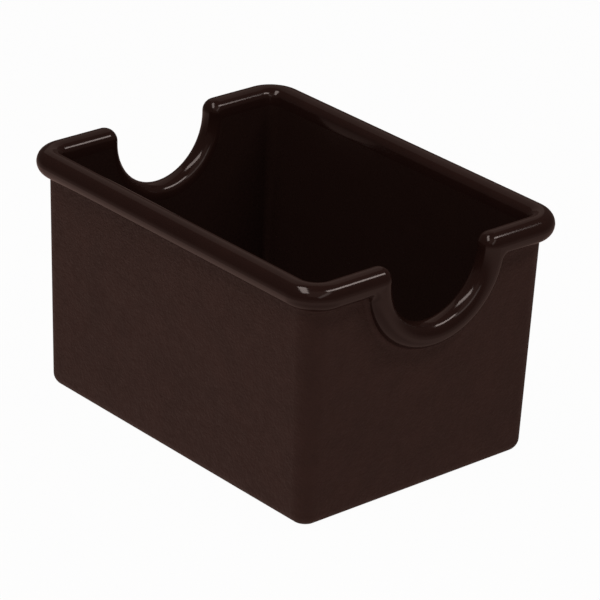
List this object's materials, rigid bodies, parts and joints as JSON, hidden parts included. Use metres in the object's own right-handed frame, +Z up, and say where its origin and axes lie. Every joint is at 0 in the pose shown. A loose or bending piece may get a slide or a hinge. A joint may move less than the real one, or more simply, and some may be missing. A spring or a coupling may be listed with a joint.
{
  "type": "sugar packet caddy",
  "caption": "Low open-topped moulded plastic caddy for paper sugar packets, with drafted walls, a round bead along the rim and a U-shaped finger notch in each short wall.",
  "frame": {"origin": "centre of the standing face, on the counter", "axes": "+X along the length, towards one notched wall; +Y across the width; +Z up, out of the open top"},
  "size_m": [0.089, 0.067, 0.0522],
  "materials": {
    "dark_brown_plastic": "moulded: fine low texture on the outer walls, polished rim bead"
  },
  "bodies": {
    "root": {"caddy_body": "dark_brown_plastic"}
  },
  "joints": []
}
